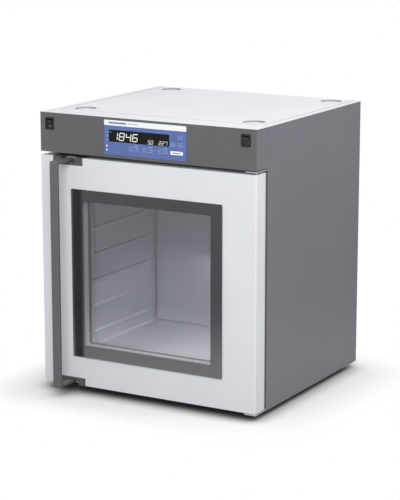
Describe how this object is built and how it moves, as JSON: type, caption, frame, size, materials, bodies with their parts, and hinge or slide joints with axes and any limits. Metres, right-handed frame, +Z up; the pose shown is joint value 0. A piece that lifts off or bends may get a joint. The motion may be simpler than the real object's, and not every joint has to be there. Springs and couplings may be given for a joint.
{
  "type": "laboratory incubator",
  "caption": "Bench incubator cabinet with a heated forced-air chamber, hinged glass door, pull handle and front control panel.",
  "frame": {"origin": "on the bench, at the middle of the outer box, handle and exhaust pipe included", "axes": "+Z up, the door and control panel face -Y, the door is hinged on the +X side"},
  "size_m": [0.71, 0.766, 0.827],
  "materials": {
    "white_paint": "white powder coat, satin",
    "grey_paint": "grey powder coat, fine texture, satin",
    "zinc_sheet": "zinc-coated sheet, matt",
    "stainless": "stainless sheet, brushed",
    "black_plastic": "black moulded plastic, fine texture",
    "grey_plastic": "dark grey moulded plastic",
    "foil": "printed blue membrane, semi matt",
    "display_glass": "black display window, glossy",
    "clear_glass": "clear toughened glass",
    "dark_border": "dark anodised window frame, glossy",
    "silicone": "dark silicone rubber, matt",
    "foot_rubber": "black rubber, matt",
    "mineral_wool": "yellow-brown mineral wool",
    "circuit_board": "green circuit board",
    "white_metal_frame": "light grey painted spacer, satin"
  },
  "bodies": {
    "cabinet": {"foot_front_left": "foot_rubber", "foot_front_right": "foot_rubber", "foot_back_left": "foot_rubber", "foot_back_right": "foot_rubber", "base_plate": "zinc_sheet", "left_side_panel": "grey_paint", "right_side_panel": "grey_paint", "top_frame": "white_paint", "top_cover": "white_paint", "rear_cover": "grey_paint", "front_frame": "stainless", "electronics_deck": "zinc_sheet", "latch_striker_top": "stainless", "latch_striker_bottom": "stainless", "hinge_bracket_top": "stainless", "hinge_bracket_bottom": "stainless", "chamber_shell": "stainless", "chamber_left_wall": "stainless", "chamber_right_wall": "stainless", "air_baffle": "stainless", "heater_coil": "stainless", "temperature_probes": "stainless", "fan_motor": "black_plastic", "insulation_wrap": "mineral_wool", "insulation_back": "mineral_wool", "exhaust_pipe": "stainless", "head_shell": "grey_paint", "control_foil": "foil", "display_window": "display_glass", "display_board": "circuit_board", "power_board": "circuit_board", "left_switch_bezel": "black_plastic", "right_switch_bezel": "black_plastic", "mains_inlet": "black_plastic"},
    "door": {"door_outer_skin": "white_paint", "door_inner_skin": "stainless", "door_insulation": "mineral_wool", "outer_pane": "clear_glass", "window_border": "dark_border", "window_tunnel": "white_metal_frame", "pane_seal": "silicone", "inner_pane": "clear_glass", "door_seal": "silicone", "hinge_bush_top": "black_plastic", "hinge_bush_bottom": "black_plastic", "handle_block_top": "grey_plastic", "handle_block_bottom": "grey_plastic"},
    "handle": {"door_handle": "grey_paint", "latch_claw_top": "stainless", "latch_claw_bottom": "stainless"},
    "key_lower_left": {"key_lower_left": "foil"},
    "key_lower_middle": {"key_lower_middle": "foil"},
    "key_lower_right": {"key_lower_right": "foil"},
    "key_side_top": {"key_side_top": "foil"},
    "key_side_left": {"key_side_left": "foil"},
    "key_side_right": {"key_side_right": "foil"},
    "left_rocker": {"left_rocker": "black_plastic"},
    "right_rocker": {"right_rocker": "black_plastic"},
    "vent_damper": {"vent_damper": "zinc_sheet"},
    "fan": {"fan_wheel": "zinc_sheet"}
  },
  "joints": [
    {"name": "door_hinge", "type": "hinge", "parent": "cabinet", "child": "door", "pos_m": [0.34, -0.288, 0.3615], "axis": [0, 0, 1], "range_deg": [0, 120]},
    {"name": "handle_pull", "type": "hinge", "parent": "door", "child": "handle", "pos_m": [-0.224, -0.292, 0.3615], "axis": [0, 0, 1], "range_deg": [0, 8], "stiffness_Nm_per_rad": 6, "springref_deg": -2.86},
    {"name": "left_switch", "type": "hinge", "parent": "cabinet", "child": "left_rocker", "pos_m": [-0.3215, -0.311, 0.795], "axis": [1, 0, 0], "range_deg": [-20, 0]},
    {"name": "right_switch", "type": "hinge", "parent": "cabinet", "child": "right_rocker", "pos_m": [0.3215, -0.311, 0.795], "axis": [1, 0, 0], "range_deg": [-20, 0]},
    {"name": "key_lower_left_press", "type": "slide", "parent": "cabinet", "child": "key_lower_left", "axis": [0, 1, 0], "range_m": [0, 0.0004], "stiffness_N_per_m": 600},
    {"name": "key_lower_middle_press", "type": "slide", "parent": "cabinet", "child": "key_lower_middle", "axis": [0, 1, 0], "range_m": [0, 0.0004], "stiffness_N_per_m": 600},
    {"name": "key_lower_right_press", "type": "slide", "parent": "cabinet", "child": "key_lower_right", "axis": [0, 1, 0], "range_m": [0, 0.0004], "stiffness_N_per_m": 600},
    {"name": "key_side_top_press", "type": "slide", "parent": "cabinet", "child": "key_side_top", "axis": [0, 1, 0], "range_m": [0, 0.0004], "stiffness_N_per_m": 600},
    {"name": "key_side_left_press", "type": "slide", "parent": "cabinet", "child": "key_side_left", "axis": [0, 1, 0], "range_m": [0, 0.0004], "stiffness_N_per_m": 600},
    {"name": "key_side_right_press", "type": "slide", "parent": "cabinet", "child": "key_side_right", "axis": [0, 1, 0], "range_m": [0, 0.0004], "stiffness_N_per_m": 600},
    {"name": "fan_spin", "type": "hinge", "parent": "cabinet", "child": "fan", "pos_m": [0, 0.222, 0.505], "axis": [0, 1, 0], "continuous": true},
    {"name": "vent_damper_turn", "type": "hinge", "parent": "cabinet", "child": "vent_damper", "pos_m": [-0.18, 0.365, 0.585], "axis": [0, 0, 1], "range_deg": [0, 90]}
  ]
}
